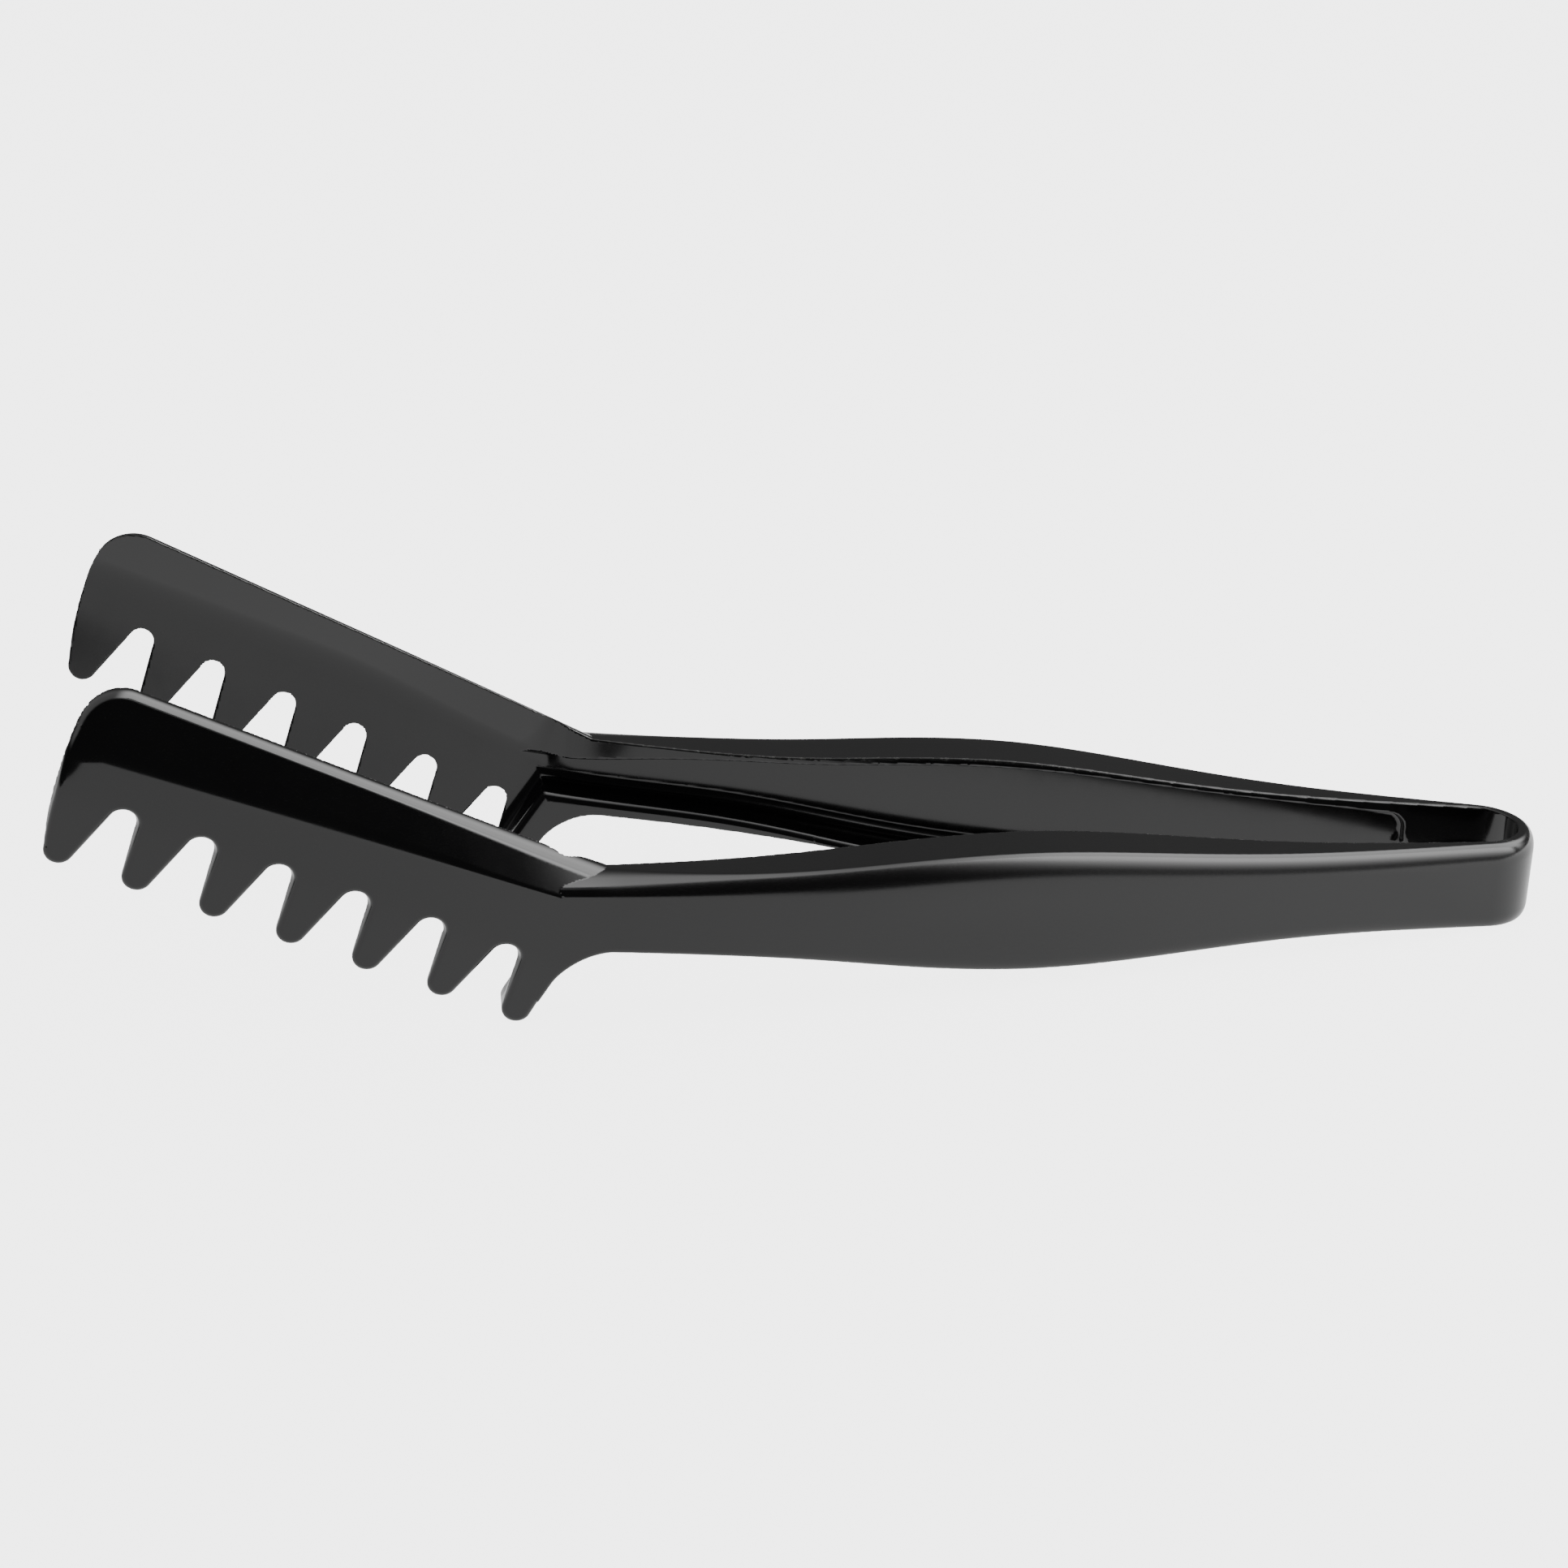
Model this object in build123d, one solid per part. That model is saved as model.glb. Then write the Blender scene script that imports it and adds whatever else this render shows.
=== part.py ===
from build123d import *
import math
import os

os.makedirs("parts", exist_ok=True)

# One-piece comb tongs, in millimetres and degrees.
#
# Everything is drawn for the rear arm in the handle frame: x runs from the teeth towards the bow, y
# across the gap between the arms and z up the height of the handle strip, and the origin is on the
# axis of the bow at half height. The front arm is the mirror image. The last step turns the tongs
# about y and lifts them to the stance in which they rest on the arm-side teeth and the bow's lower edge.

# Stance
STANCE_TILT = 3.86           # the handle rises towards the teeth by this angle
BOW_X = 128.46               # bow axis, measured from the middle of the overall length
BOW_Z = 9.12                 # bow axis at half height, above the floor

# Spring bow, and the solid leg that joins it to the hollow back of the handle
BOW_INNER = 8.25
BOW_OUTER = 11.65
LEG_END = -11.5

# Handle. Plan view lines give y at x, side view lines give z at x.
COMB_JOINT = -174.5
WEB = 2.6
OUTER_LINE = [(-180, 38.1), (-150, 35.2), (-130, 33.4), (-109, 31.5), (-87, 28.8), (-60, 23.9),
              (-32, 18.1), (0, BOW_OUTER)]
UPPER_RIM = [(-180, 31.5), (-150, 25.7), (-130, 21.8), (-109, 18.9), (-87, 16.2), (-60, 13.1),
             (-32, 10.8), (0, BOW_INNER)]
LOWER_RIM = [(-180, 27.4), (-150, 24.4), (-130, 21.8), (-109, 18.9), (-87, 16.2), (-60, 13.1),
             (-32, 10.8), (0, BOW_INNER)]
TOP_LINE = [(-180, 8.4), (-150, 8.05), (-130, 8.8), (-109, 10.7), (-87, 11.7), (-62, 10.3),
            (-40, 8.9), (0, 8.65)]
BOTTOM_LINE = [(-180, -6.2), (-150, -7.4), (-130, -8.8), (-109, -10.7), (-87, -11.5), (-62, -10.1),
               (-40, -8.5), (0, -8.35)]
FLANGE_END = 4.0             # flange thickness at the comb
FLANGE = 1.75                # flange thickness along the grip
FLANGE_LEG = 2.4             # flange thickness at the leg
FLANGE_TAPER = -140.0        # the thick end of a flange has thinned out here

# Comb. s runs along the row of tooth gaps towards the free end, t runs up across it.
COMB_RISE = 21.8             # the comb row rises from the handle by this angle
COMB_SPLAY = 0.0985          # sideways travel per millimetre of s
ROW_X = -186.2               # the last gap, s = 0 and t = 0
ROW_Z = -5.4
ROW_HALF_GAP = 35.9          # inner face to the middle plane at s = 0
PITCH = 15.0
TEETH = 7
GAP_RADIUS = 2.35
TIP_RADIUS = 2.8
TIP_FORWARD = 8.35           # tooth tip centre, past the gap before it
TIP_DEPTH = 11.75            # tooth tip centre, below the row
LAST_TOOTH_TOP = (-11.6, 8.0)   # the back edge of the last tooth runs up into the handle
JUNCTION = (-11.1, 3.4)      # that edge crosses the handle's bottom line near here
JUNCTION_RADIUS = 7.0
PLATE = 2.6
TOP_AT_HANDLE = 18.5
TOP_AT_END = 19.8
END_S = 89.8                 # free end of the comb
CORNER_RADIUS = 8.0
TOOTH_LEAN = 0.14            # the teeth lean inwards by this much per millimetre
CURL_FROM_HANDLE = 12.7      # the top of the comb curls inwards from this t
CURL_FROM_END = 4.5
CURL_AT_HANDLE = 4.8
CURL_AT_END = 6.4
ROOT_T = -0.8                # teeth are divided from the plate just below the tops of the gaps

BACK_S = -30.0               # the comb's outline runs on into the handle as far as this
SECTION_LOW = -18.0          # lowest t of the comb's section
REACH = 60.0                 # further than the tongs reach from the middle plane


def row_point(s, t):
    """Side view position of a point of the comb."""
    rise = math.radians(COMB_RISE)
    x = ROW_X - s * math.cos(rise) + t * math.sin(rise)
    z = ROW_Z + s * math.sin(rise) + t * math.cos(rise)
    return (x, z)


def toward(centre, radius, point):
    """Point of a circle in the direction of another point."""
    reach = math.dist(centre, point)
    return tuple(c + radius * (p - c) / reach for c, p in zip(centre, point))


def crossing_edge(start, start_radius, end, end_radius, turn):
    """Ends of the straight edge that crosses from one circle to the far side of the next."""
    heading = math.atan2(end[1] - start[1], end[0] - start[0])
    angle = heading + turn * math.acos((start_radius + end_radius) / math.dist(start, end))
    side = (math.cos(angle), math.sin(angle))
    first = tuple(c + start_radius * d for c, d in zip(start, side))
    last = tuple(c - end_radius * d for c, d in zip(end, side))
    return first, last


def comb_outline():
    """Side view face of the comb with its top edge, rounded free end and seven teeth."""
    with BuildSketch() as sketch:
        with BuildLine():
            corner = (END_S - CORNER_RADIUS, TOP_AT_END - CORNER_RADIUS)
            round_start = row_point(corner[0], TOP_AT_END)
            round_middle = row_point(*toward(corner, CORNER_RADIUS, (END_S, TOP_AT_END)))
            round_end = row_point(END_S, corner[1])
            tip = (TIP_FORWARD + (TEETH - 2) * PITCH, -TIP_DEPTH)
            here = row_point(*toward(tip, TIP_RADIUS, (tip[0] + 5.0, tip[1] - 0.4)))
            Line(row_point(BACK_S, TOP_AT_HANDLE), round_start)
            ThreePointArc(round_start, round_middle, round_end)
            ThreePointArc(round_end, row_point(END_S - 0.9, -0.5), here)
            for tooth in reversed(range(1, TEETH)):
                gap = ((tooth - 1) * PITCH, -GAP_RADIUS)
                tip = (gap[0] + TIP_FORWARD, -TIP_DEPTH)
                next_tip = (tip[0] - PITCH, tip[1])
                slant = crossing_edge(gap, GAP_RADIUS, tip, TIP_RADIUS, 1)
                steep = crossing_edge(gap, GAP_RADIUS, next_tip, TIP_RADIUS, -1)
                low = row_point(tip[0], tip[1] - TIP_RADIUS)
                ThreePointArc(here, low, row_point(*slant[1]))
                Line(row_point(*slant[1]), row_point(*slant[0]))
                ThreePointArc(row_point(*slant[0]), row_point(gap[0], 0), row_point(*steep[0]))
                Line(row_point(*steep[0]), row_point(*steep[1]))
                here = row_point(*steep[1])
            tip = (TIP_FORWARD - PITCH, -TIP_DEPTH)
            last_low = row_point(tip[0], tip[1] - TIP_RADIUS)
            last_back = row_point(*toward(tip, TIP_RADIUS, (tip[0] - 5.0, tip[1] - 1.2)))
            ThreePointArc(here, last_low, last_back)
            Line(last_back, row_point(*LAST_TOOTH_TOP))
            Line(row_point(*LAST_TOOTH_TOP), row_point(BACK_S, 12.0))
            Line(row_point(BACK_S, 12.0), row_point(BACK_S, TOP_AT_HANDLE))
        make_face()
    return sketch.sketch


def line_at(points, x):
    """Value of a profile line at x."""
    curve = Spline(*points)
    low, high = 0.0, 1.0
    for _ in range(40):
        middle = (low + high) / 2
        if (curve @ middle).X < x:
            low = middle
        else:
            high = middle
    return (curve @ low).Y


def strip(first, second):
    """Face between two profile lines that run the same way."""
    with BuildSketch() as sketch:
        with BuildLine():
            one = Spline(*first)
            two = Spline(*second)
            Line(one @ 0, two @ 0)
            Line(one @ 1, two @ 1)
        make_face()
    return sketch.sketch


def shifted(points, offset):
    return [(x, y + offset) for x, y in points]


def swept_across(face):
    """A side view face, swept from the middle plane past the rear arm."""
    return extrude(Plane.XZ * face, REACH, dir=(0, 1, 0))


def swept_up(face):
    """A plan view face, swept through the whole height of the tongs."""
    return extrude(Pos(0, 0, -REACH) * face, 2 * REACH, dir=(0, 0, 1))


def between(x_low, x_high):
    return Pos((x_low + x_high) / 2, REACH / 2, 0) * Box(x_high - x_low, REACH, 2 * REACH)


def flange_face(line, side):
    """Side view face that is one flange thick, along the top line (side 1) or the bottom line (-1)."""
    inner = [(COMB_JOINT, line_at(line, COMB_JOINT) - side * FLANGE_END)]
    for x, z in line:
        if FLANGE_TAPER < x < LEG_END:
            inner.append((x, z - side * FLANGE))
    inner.append((LEG_END, line_at(line, LEG_END) - side * FLANGE_LEG))
    outer = [(COMB_JOINT, side * REACH / 2), (LEG_END, side * REACH / 2)]
    with BuildSketch() as sketch:
        with BuildLine():
            edge = Spline(*inner)
            Line(edge @ 0, outer[0])
            Line(outer[0], outer[1])
            Line(outer[1], edge @ 1)
        make_face()
    return sketch.sketch


def comb_section(s, t_top, curl_from, curl):
    """Cross-section of the comb at s: leaning teeth, upright middle and a top that curls inwards."""
    x, z = row_point(s, 0)
    rise = math.radians(COMB_RISE)
    half_gap = ROW_HALF_GAP + COMB_SPLAY * s
    plane = Plane(origin=(x, half_gap, z), x_dir=(0, 1, 0), z_dir=(math.cos(rise), 0, -math.sin(rise)))
    rise_t = t_top - curl_from
    radius = (rise_t ** 2 + curl ** 2) / (2 * curl)
    end_angle = math.degrees(math.asin(rise_t / radius)) + 3.0
    with BuildSketch(plane) as sketch:
        with BuildLine():
            inner = CenterArc((-radius, curl_from), radius, 0, end_angle)
            outer = CenterArc((-radius, curl_from), radius + PLATE, 0, end_angle)
            inner_tip = (TOOTH_LEAN * SECTION_LOW, SECTION_LOW)
            outer_tip = (inner_tip[0] + PLATE, SECTION_LOW)
            Polyline(inner @ 0, (0, 0), inner_tip, outer_tip, (PLATE, 0), outer @ 0)
            Line(inner @ 1, outer @ 1)
        make_face()
    return sketch.sketch


def comb_shell():
    """The whole curled plate, before its side outline is cut."""
    ends = [
        comb_section(BACK_S, TOP_AT_HANDLE, CURL_FROM_HANDLE, CURL_AT_HANDLE),
        comb_section(END_S + 5.0, TOP_AT_END, CURL_FROM_END, CURL_AT_END),
    ]
    return loft(ends, ruled=True)


def save(shape, name):
    placed = Pos(BOW_X, 0, BOW_Z) * Rot(0, STANCE_TILT, 0) * shape
    export_step(Compound(children=list(placed.solids())), f"parts/{name}.step")


def save_pair(shape, name):
    save(shape, f"rear_{name}")
    save(mirror(shape, about=Plane.XZ), f"front_{name}")


handle_outline = strip(TOP_LINE, BOTTOM_LINE)
side_outline = handle_outline + comb_outline()
corner = min(side_outline.vertices(), key=lambda v: math.dist((v.X, v.Y), row_point(*JUNCTION)))
side_outline = fillet(corner, JUNCTION_RADIUS)
side_block = swept_across(side_outline)
web_line = shifted(OUTER_LINE, -WEB)

# Spring bow
ring = Cylinder(BOW_OUTER, 2 * REACH) - Cylinder(BOW_INNER, 2 * REACH)
bow_half = Pos(REACH / 2, 0, 0) * Box(REACH, 2 * REACH, 2 * REACH)
bow_height = TOP_LINE[-1][1] - BOTTOM_LINE[-1][1]
bow_slab = Pos(0, 0, (TOP_LINE[-1][1] + BOTTOM_LINE[-1][1]) / 2) * Box(REACH, REACH, bow_height)
save(ring & bow_half & bow_slab, "spring_bow")

# Solid legs and handle webs
leg = swept_up(strip(OUTER_LINE, UPPER_RIM)) & between(LEG_END, 0) & side_block
save_pair(leg, "bow_leg")
web = swept_up(strip(OUTER_LINE, web_line)) & between(COMB_JOINT, LEG_END) & side_block
save_pair(web, "handle_web")

# Flanges
hollow_part = between(COMB_JOINT, LEG_END) & side_block
for name, rim, line, side in (
    ("upper_flange", UPPER_RIM, TOP_LINE, 1),
    ("lower_flange", LOWER_RIM, BOTTOM_LINE, -1),
):
    flange = swept_up(strip(web_line, rim)) & hollow_part & swept_across(flange_face(line, side))
    save_pair(flange, name)

# Comb plate and teeth
comb = comb_shell() & side_block & between(COMB_JOINT - 150, COMB_JOINT)
root = Plane(origin=(ROW_X + ROOT_T * math.sin(math.radians(COMB_RISE)), 0,
                     ROW_Z + ROOT_T * math.cos(math.radians(COMB_RISE))),
             x_dir=(0, 1, 0), z_dir=(math.sin(math.radians(COMB_RISE)), 0, math.cos(math.radians(COMB_RISE))))
plate = split(comb, bisect_by=root, keep=Keep.TOP)
teeth = split(comb, bisect_by=root, keep=Keep.BOTTOM)
save_pair(plate, "comb_plate")
for number, tooth in enumerate(sorted(teeth.solids(), key=lambda solid: solid.center().X), start=1):
    save_pair(tooth, f"tooth_{number}")
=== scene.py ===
import math

import bmesh
import bpy
import numpy as np
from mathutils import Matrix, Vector


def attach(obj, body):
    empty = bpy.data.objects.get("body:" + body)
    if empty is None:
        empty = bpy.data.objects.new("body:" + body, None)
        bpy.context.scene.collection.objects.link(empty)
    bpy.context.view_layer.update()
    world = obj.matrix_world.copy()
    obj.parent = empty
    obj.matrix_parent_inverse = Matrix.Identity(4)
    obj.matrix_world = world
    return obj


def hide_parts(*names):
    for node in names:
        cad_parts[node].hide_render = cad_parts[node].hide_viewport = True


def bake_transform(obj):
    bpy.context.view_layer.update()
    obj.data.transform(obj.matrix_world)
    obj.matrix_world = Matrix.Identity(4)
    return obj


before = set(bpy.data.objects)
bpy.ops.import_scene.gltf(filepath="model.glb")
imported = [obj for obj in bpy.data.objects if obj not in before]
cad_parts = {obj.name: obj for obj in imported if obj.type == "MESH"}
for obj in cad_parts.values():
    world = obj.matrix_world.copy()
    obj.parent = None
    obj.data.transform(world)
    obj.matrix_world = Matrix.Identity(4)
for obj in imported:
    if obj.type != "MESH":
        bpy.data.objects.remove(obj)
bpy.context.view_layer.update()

# The tongs are one glossy black moulding. Its surface is written here as one smooth function of
# position, meshed by a surface net and cut into the pieces that move. Shapes are in millimetres in the
# handle frame of the CAD: x from the teeth to the bow, y across the gap, z up the handle strip.

CELL = 0.42   # mesh size
MESH_LOW = (-284.0, -CELL / 2, -22.8)
MESH_HIGH = (12.6, 48.6, 45.0)
MESH_MARGIN = 2.5 * CELL             # the surface function is worked out this far past the side view
SLAB = 12                            # grid planes that are worked out at a time
RELAX_ROUNDS = 2
BELOW_RIM = 2.0                      # nothing of a handle is this far inside its rims
COMB_NEAR_X, COMB_NEAR_Y = -165.0, 26.0      # nor of a comb inside this, and the bow needs the whole gap
BOW_NEAR_X = -16.5
SMALL = 0.02                         # step for slopes
FLATTEST = 0.05                      # a slope's square is taken as no less than this

# Placing of the handle frame in the row frame
STANCE_TILT = math.radians(3.86)
BOW_X = 128.46
BOW_Z = 9.12

# Camera and stage, in metres
LENS = 114.3
SENSOR = 36.0
CAMERA_AT = (-0.0737, -0.8622, 0.4068)
LOOK_AT = (-0.00445, 0.0, 0.0307)
FLOOR_SIZE = 3.4
FLOOR_FRONT = 0.34           # in reflections the pale floor ends here, in front of the tongs
FLOOR_Z = -0.0002
FLOOR_GREY = 0.92
FLOOR_GREY_IN_GLOSS = 0.02
FLOOR_TO_CAMERA = 4.0        # strength of the floor's glow as the camera sees it
FLOOR_GLOW = 0.6             # and as it lights the tongs
FLOOR_IN_GLOSS = 1.2         # and as they reflect it
FLOOR_RIGHT = 0.5            # added to that along the handles
FLOOR_FAR_RIGHT = 2.0        # and added again beyond the bow
WORLD_SOFT = 0.30
WORLD_FRONT = 0.03
WORLD_BEHIND = 0.20
TOP_LIGHT = 7.0
TOP_LIGHT_LEFT = 1.2
PANEL_LIGHT = 8.7
PANEL_Y = -0.15              # soft panel in front of the handles, that only shows in their gloss
PANEL_X = (0.03, 0.60)
PANEL_Z = (0.0, 0.36)
PANEL_FULL_X = (0.05, 0.15)  # it gets brighter between these
PANEL_FULL_Z = (0.03, 0.15)
PANEL_LOW = 0.05             # share of its light at the foot
KEY_AT = (0.0, -0.1, 1.0)
KEY_SIZE = (1.4, 1.4)
KEY_POWER = 1.0              # watts per square metre

# Bow and legs
BOW_OUTER = 11.65
BOW_INNER = 8.25
LEG_END = -11.5              # the hollow back ends here
LEG_CUT = -9.0               # the mesh is cut into bow, handle and comb at these
COMB_CUT = -174.5

# Handle, plan view lines (x, y) and side view lines (x, z)
OUTER_LINE = [(-180, 38.1), (-150, 35.2), (-130, 33.4), (-109, 31.5), (-87, 28.8), (-60, 23.9),
              (-32, 18.1), (0, BOW_OUTER)]
UPPER_RIM = [(-180, 31.5), (-150, 25.7), (-130, 21.8), (-109, 18.9), (-87, 16.2), (-60, 13.1),
             (-32, 10.8), (0, BOW_INNER)]
LOWER_RIM = [(-180, 27.4), (-150, 24.4), (-130, 21.8), (-109, 18.9), (-87, 16.2), (-60, 13.1),
             (-32, 10.8), (0, BOW_INNER)]
RIMS_PART_X = -125.0         # before this the lower rim has its own line, up to these heights
RIMS_PART_Z = (-2, 3)
TOP_LINE = [(-180, 8.4), (-150, 8.05), (-130, 8.8), (-109, 10.7), (-87, 11.7), (-62, 10.3),
            (-40, 8.9), (0, 8.65)]
BOTTOM_LINE = [(-180, -6.2), (-150, -7.4), (-130, -8.8), (-109, -10.7), (-87, -11.5), (-62, -10.1),
               (-40, -8.5), (0, -8.35)]
HANDLE_END = -180.0
WEB = 2.6
UPPER_FLANGE = [(-180, 5.0), (-172, 4.7), (-158, 3.0), (-142, 1.6), (-120, 1.6), (-30, 1.75),
                (-13.5, 2.4)]
LOWER_FLANGE = [(-180, 3.9), (-172, 3.4), (-158, 3.0), (-142, 2.8), (-120, 1.8), (-30, 1.75),
                (-13.5, 2.4)]
UPPER_FLANGE_START = -173.3
UPPER_START_SLOPE = 2.0      # the upper flange rises out of the comb by 1 in 2
START_SPLIT_Z = 2.0          # its start is used above this, and the lower flange's below
LOWER_FLANGE_START = ((-176.6, 0.0), (-182.7, -10.4))   # its end face slopes down the last tooth

# Shoulder of the top outer edge: how far it reaches in (y) and down (z)
SHOULDER_IN = [(-185, 6.8), (-170, 6.0), (-162, 4.8), (-151, 3.4), (-141, 2.7), (-131, 2.5), (-115, 2.5),
               (0, 2.2)]
SHOULDER_DOWN = [(-185, 3.7), (-150, 4.1), (-131, 5.0), (-110, 5.6), (-40, 5.4), (0, 4.2)]
SHOULDER_Z = (-3, 3)         # below these heights the small edge, above them the shoulder

# Small outer edges: along the handle, next to the comb and on the comb
EDGE_IN = (1.2, 0.9, 0.8)
EDGE_DOWN = (2.6, 1.3, 0.8)
EDGE_NARROWS = (120, 150)    # between these, in -x
EDGE_TO_COMB = (165, 185)
COMB_TOP_EDGE_IN = (2.2, 1.6)        # at the handle and at the free end
COMB_TOP_EDGE_DOWN = (2.0, 1.4)
COMB_TOP_EDGE_S = (-10, 40)
COMB_TOP_EDGE_T = (6, 13)

# Inner edges and fillets of the hollow back: at the upper flange and at the lower one
RIM_EDGE = (0.45, 1.7)
WEB_FILLET = (1.2, 2.3)
LOWER_Z = (-1, 2)
SLOT_CORNER = 3.0
CREASE = 0.3

# Shallow dish for the thumb on the outer side of each handle
DISH_AT = (-93.0, -2.0)
DISH_RADII = (30.0, 8.0)
DISH_DEPTH = 0.4

# Comb: s runs along the row of tooth gaps towards the free end, t runs up across it
COMB_RISE = math.radians(21.8)
COMB_SPLAY = 0.0985
ROW_X = -186.2
ROW_Z = -5.4
ROW_HALF_GAP = 35.9
PITCH = 15.0
TEETH = 7
GAP_RADIUS = 2.35
TIP_RADIUS = 2.8
TIP_FORWARD = 8.35
TIP_DEPTH = 11.75
LAST_TOOTH_TOP = (-11.6, 8.0)
PLATE = 2.6
TOP_AT_HANDLE = 18.9
TOP_AT_END = 19.8
END_S = 89.8
END_BULGE = (-0.9, -0.5)     # the free end passes through this: s past END_S, and t
END_TIP_SIDE = (5.0, -0.4)   # where the free end meets its tip, and the last tooth's back meets its own
BACK_TIP_SIDE = (-5.0, -1.2)
CORNER_RADIUS = 8.0
TOOTH_LEAN = 0.14            # outer face of the teeth
TOOTH_LEAN_INSIDE = 0.10
LEAN_SOFT = 1.2              # how gently each face starts to lean
LEAN_SOFT_INSIDE = 2.5
TOOTH_DRAFT = 0.30           # the tooth outline narrows by this much per millimetre, outwards
BACK_S = -30.0
BACK_T = 12.0
JUNCTION_RADIUS = 7.0
FILLET_TOP = 1.0             # the junction's fillet is kept inside these
FILLET_S = -6.6
FILLET_T = -9.0
FILLET_X = -135.0

# How the comb's top is bent inwards, at the handle and at the free end
CURL = (4.1, 6.4)
CURL_S = (-10.0, 90.0)
CURL_CONSTANT_BEFORE = -12.0
TOP_S = (-30.0, 90.0)
BEND_RADIUS = (2.0, 8.0)
BEND_WIDENS_S = (-5, 50)
BEND_T = 12.5
BEND_FALL = 0.053            # the bend comes down the comb by this much per millimetre
BEND_LEAD = 0.19             # and by this share of its radius
INNER_BEND_LEAD = (4.0, 2.0)
INNER_BEND_WIDER = 5.0
INNER_BEND_S = (-5, 40)
INNER_CURL_X = (171, 181)    # the web inside the handle is flat before this, in -x

# The free end turns inwards, and the comb's flat face takes over from the handle's
END_TURN_S = 83.0
END_TURN = 0.045
END_TURN_INSIDE = 0.009
END_TURN_T = (-2, 10)
COMB_SIDE_X = (166, 186)
COMB_FROM_X = -160.0
SPLAY_SCALE = 1.004


# Finish: grain on the outside of the handles, and along their upper rims flash specks lightened as a painted
# highlight of the rim edge
GRAIN_FROM_X = (-173, -167)
GRAIN_ON_TOP = 0.5
FLASH_HIGHLIGHT_FROM_X = (-170, -160)
FLASH_HIGHLIGHT_WIDTH = (0.15, 0.5)
BLACK = (0.0050, 0.0050, 0.0053, 1)
# light grey of the upper rim line: partly flash specks, partly a painted highlight of the rim edge
FLASH_AND_HIGHLIGHT_GREY = (0.12, 0.12, 0.115, 1)
POLISHED = (0.10, 0.15)      # roughness
SATIN = (0.17, 0.22)
FLASH_HIGHLIGHT_ROUGH = 0.45
GRAIN_HEIGHT = 0.000004
FLOW_HEIGHT = 0.000010


class Line:
    """Natural cubic through points, straight beyond its ends."""

    def __init__(self, points):
        self.x, self.y = np.array(points, float).T
        gap, n = np.diff(self.x), len(self.x)
        matrix, right = np.eye(n), np.zeros(n)
        for i in range(1, n - 1):
            matrix[i, i - 1:i + 2] = gap[i - 1], 2 * (gap[i - 1] + gap[i]), gap[i]
            right[i] = 6 * ((self.y[i + 1] - self.y[i]) / gap[i] - (self.y[i] - self.y[i - 1]) / gap[i - 1])
        self.bend = np.linalg.solve(matrix, right)

    def __call__(self, x):
        inside = np.clip(x, self.x[0], self.x[-1])
        i = np.clip(np.searchsorted(self.x, inside) - 1, 0, len(self.x) - 2)
        gap = self.x[i + 1] - self.x[i]
        a, b = (self.x[i + 1] - inside) / gap, (inside - self.x[i]) / gap
        value = (a * self.y[i] + b * self.y[i + 1]
                 + ((a ** 3 - a) * self.bend[i] + (b ** 3 - b) * self.bend[i + 1]) * gap ** 2 / 6)
        slope = ((self.y[i + 1] - self.y[i]) / gap
                 + ((1 - 3 * a ** 2) * self.bend[i] + (3 * b ** 2 - 1) * self.bend[i + 1]) * gap / 6)
        return value + slope * (x - inside)


def ramp(x, low, high):
    """Smooth step from 0 at low to 1 at high."""
    k = np.clip((x - low) / (high - low), 0, 1)
    return k * k * (3 - 2 * k)


def mix(a, b, k):
    """a where k is 0, b where k is 1."""
    return a + (b - a) * k


def join(a, b, radius):
    """Union with a fillet."""
    corner = np.hypot(np.maximum(radius - a, 0), np.maximum(radius - b, 0))
    return np.maximum(radius, np.minimum(a, b)) - corner


def cut(a, b, radius):
    """Intersection with a round edge."""
    corner = np.hypot(np.maximum(radius + a, 0), np.maximum(radius + b, 0))
    return np.minimum(-radius, np.maximum(a, b)) + corner


def shoulder(a, b, reach_a, reach_b):
    """Intersection whose edge is a quarter ellipse."""
    u, v = (a + reach_a) / reach_a, (b + reach_b) / reach_b
    rho = np.maximum(np.hypot(u, v), 1e-6)
    slope = np.hypot(u / reach_a, v / reach_b) / rho
    return np.where((u > 0) & (v > 0), (rho - 1) / slope, np.maximum(a, b))


outer_line, upper_rim, lower_rim = Line(OUTER_LINE), Line(UPPER_RIM), Line(LOWER_RIM)
top_line, bottom_line = Line(TOP_LINE), Line(BOTTOM_LINE)
upper_flange, lower_flange = Line(UPPER_FLANGE), Line(LOWER_FLANGE)
shoulder_in, shoulder_down = Line(SHOULDER_IN), Line(SHOULDER_DOWN)


def toward(centre, radius, point):
    """Point of a circle, in the direction of another point."""
    reach = math.dist(centre, point)
    return tuple(c + radius * (p - c) / reach for c, p in zip(centre, point))


def crossing_edge(start, start_radius, end, end_radius, turn):
    """Ends of the straight edge that crosses from one circle to the far side of the next."""
    heading = math.atan2(end[1] - start[1], end[0] - start[0])
    angle = heading + turn * math.acos((start_radius + end_radius) / math.dist(start, end))
    side = (math.cos(angle), math.sin(angle))
    return (tuple(c + start_radius * d for c, d in zip(start, side)),
            tuple(c - end_radius * d for c, d in zip(end, side)))


LAST_TIP = (TIP_FORWARD - PITCH, -TIP_DEPTH)
LAST_BACK = toward(LAST_TIP, TIP_RADIUS, (LAST_TIP[0] + BACK_TIP_SIDE[0], LAST_TIP[1] + BACK_TIP_SIDE[1]))
BACK_LENGTH = math.dist(LAST_BACK, LAST_TOOTH_TOP)


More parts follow.
